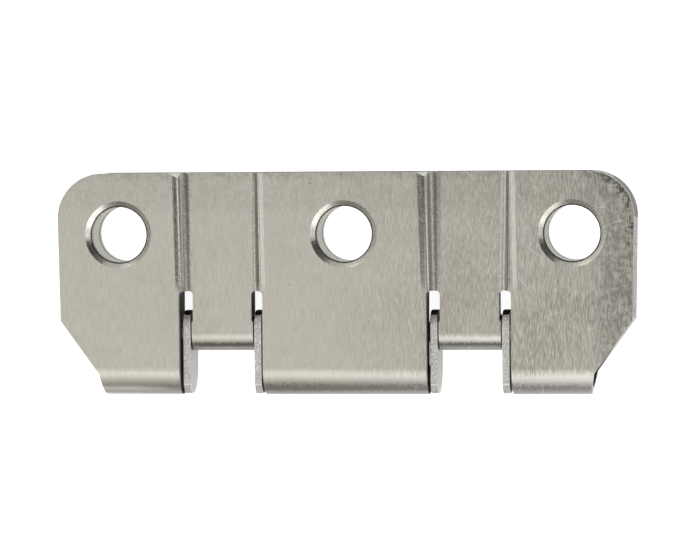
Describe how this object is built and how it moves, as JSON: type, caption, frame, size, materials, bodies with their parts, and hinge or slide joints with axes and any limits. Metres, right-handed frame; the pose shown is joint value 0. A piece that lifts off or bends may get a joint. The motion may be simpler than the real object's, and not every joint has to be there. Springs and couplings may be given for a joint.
{
  "type": "hinged conveyor slat",
  "caption": "Folded stainless slat with rolled hinge eyes, pinned pairs of swinging link plates, and bolt holes through spacer sleeves.",
  "frame": {"origin": "middle of the box around the part, on its underside, which is the rear face of the slat", "axes": "+X across the slat, +Y towards its straight edge, +Z out of the front face"},
  "size_m": [0.1142, 0.044, 0.011],
  "materials": {
    "slat_steel": "vertical brushed satin, tumbled edges",
    "sleeve_steel": "smooth turned",
    "link_steel": "tumbled, grainy sheared edges",
    "pin_steel": "drawn bar"
  },
  "bodies": {
    "slat": {"slat_plate": "slat_steel", "spacer_sleeve_left": "sleeve_steel", "spacer_sleeve_middle": "sleeve_steel", "spacer_sleeve_right": "sleeve_steel"},
    "left_links": {"link_plate_left_outer": "link_steel", "link_plate_left_inner": "link_steel", "hinge_pin_left": "pin_steel"},
    "right_links": {"link_plate_right_inner": "link_steel", "link_plate_right_outer": "link_steel", "hinge_pin_right": "pin_steel"}
  },
  "joints": [
    {"name": "left_links_swing", "type": "hinge", "parent": "slat", "child": "left_links", "pos_m": [-0.02462, -0.0097, 0.0054], "axis": [-1, 0, 0], "range_deg": [-105, 115]},
    {"name": "right_links_swing", "type": "hinge", "parent": "slat", "child": "right_links", "pos_m": [0.02462, -0.0097, 0.0054], "axis": [-1, 0, 0], "range_deg": [-105, 115]}
  ]
}
